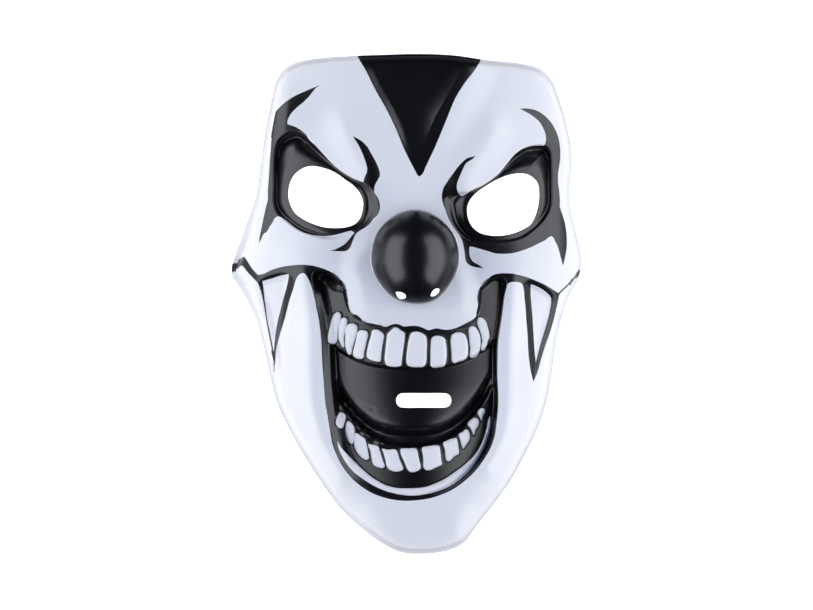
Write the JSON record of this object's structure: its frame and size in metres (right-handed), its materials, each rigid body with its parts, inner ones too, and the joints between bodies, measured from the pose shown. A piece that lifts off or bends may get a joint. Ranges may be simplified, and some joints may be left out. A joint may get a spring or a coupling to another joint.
{
  "type": "clown mask",
  "caption": "Full-face vacuum-formed clown mask with a ball nose, cut-out eye holes, a wide grin of raised teeth, a speech slot and side strap holes",
  "frame": {"origin": "middle of the bounding box's underside, on the plane of the rim", "axes": "X to the wearer's left, which is the picture's right; Y from chin to forehead; Z out of the face, with the rim on z = 0"},
  "size_m": [0.175, 0.2502, 0.0863],
  "materials": {
    "mask_plastic": "gloss white shell with gloss black painted eyes, grin, cheek lines and forehead point"
  },
  "bodies": {
    "root": {"mask_shell": "mask_plastic"}
  },
  "joints": []
}
